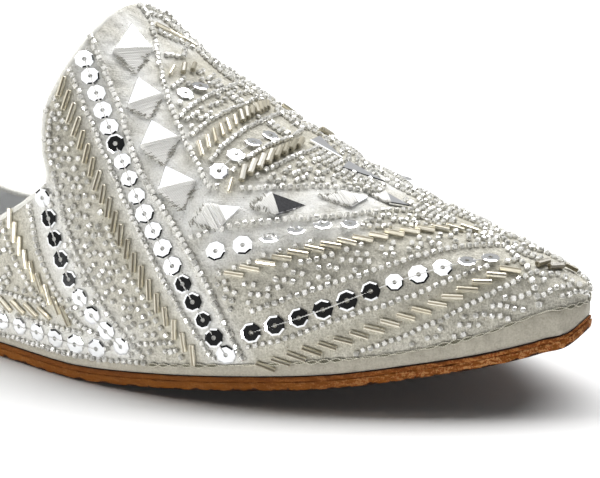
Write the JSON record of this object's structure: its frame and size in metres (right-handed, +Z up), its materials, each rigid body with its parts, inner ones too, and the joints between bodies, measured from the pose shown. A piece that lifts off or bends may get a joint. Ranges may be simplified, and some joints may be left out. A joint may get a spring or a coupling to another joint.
{
  "type": "flat shoe",
  "caption": "Women's flat slip-on shoe with pointed toe, high tongue, closed low back and beaded silver cloth upper on a thin leather sole.",
  "frame": {"origin": "on the floor, under the middle of the shoe's length and width", "axes": "+X from heel to toe, +Z up, +Y to the other side; the last is straight"},
  "size_m": [0.25, 0.0842, 0.0766],
  "materials": {
    "sole_leather": "raw tan-brown leather with a rough cut edge",
    "sole_layer_leather": "thin darker leather layer with a rough cut edge",
    "insole_lining": "smooth matt grey lining",
    "upper_cloth": "silver-cream cloth covered with glass beads, sequins and mirrors"
  },
  "bodies": {
    "root": {"outsole": "sole_leather", "midsole": "sole_layer_leather", "insole": "insole_lining", "upper": "upper_cloth"}
  },
  "joints": []
}
